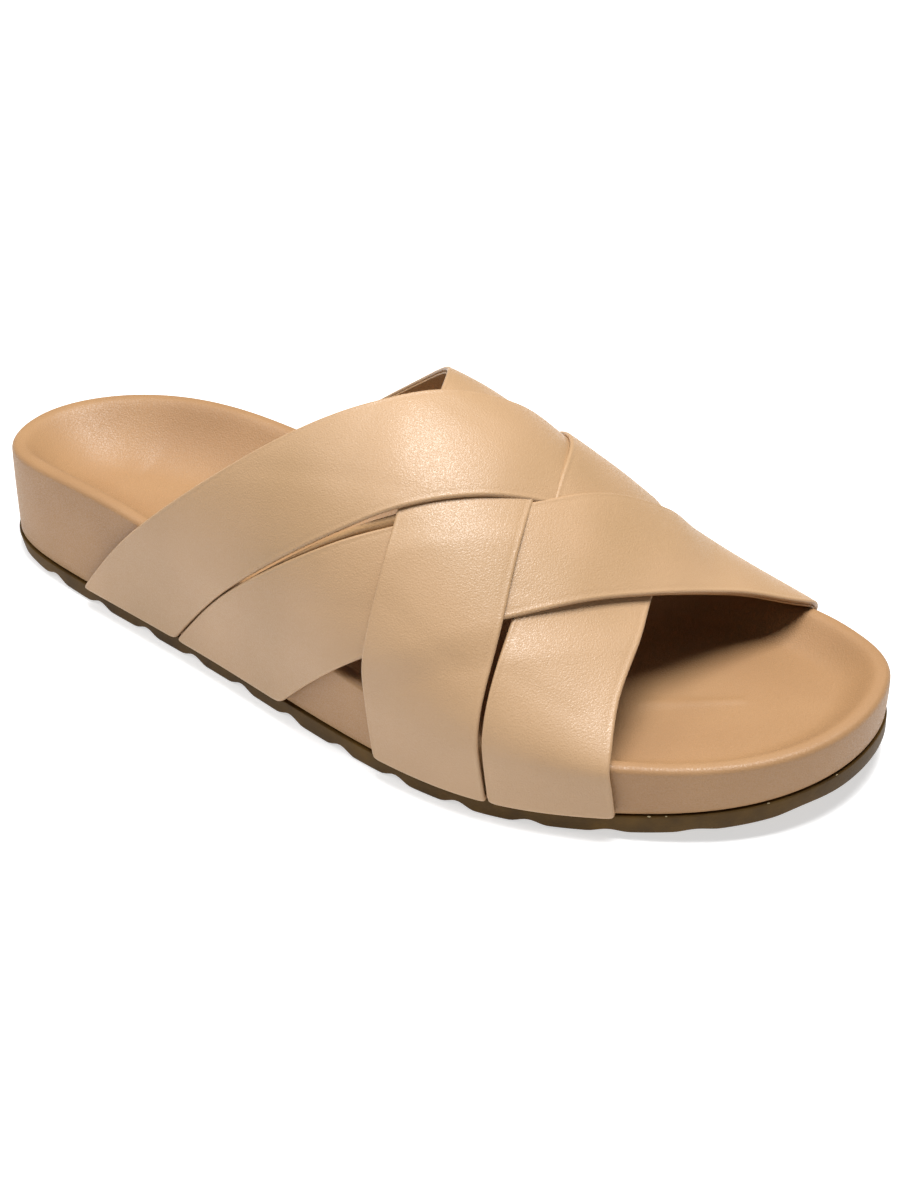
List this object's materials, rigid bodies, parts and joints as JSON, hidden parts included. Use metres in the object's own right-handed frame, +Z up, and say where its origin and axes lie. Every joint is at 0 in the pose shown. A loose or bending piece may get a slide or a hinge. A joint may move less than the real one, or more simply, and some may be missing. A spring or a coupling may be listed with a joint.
{
  "type": "open-toe sandal",
  "caption": "Right slide sandal with a woven strap upper, a contoured leather-wrapped footbed with a rolled rim, and a thin rippled rubber outsole.",
  "frame": {"origin": "on the floor, under the middle of the sandal's box in length and width", "axes": "+X from heel to toe, +Y to the inner (medial) side, +Z up"},
  "size_m": [0.262, 0.1094, 0.0827],
  "materials": {
    "outsole_rubber": "moulded rubber, satin",
    "footbed_leather": "smooth leather wrap, soft sheen",
    "insole_leather": "smooth lining leather, satin",
    "strap_leather": "fine-grained leather, soft sheen"
  },
  "bodies": {
    "root": {"outsole": "outsole_rubber", "footbed": "footbed_leather", "insole": "insole_leather", "upper": "strap_leather"}
  },
  "joints": []
}
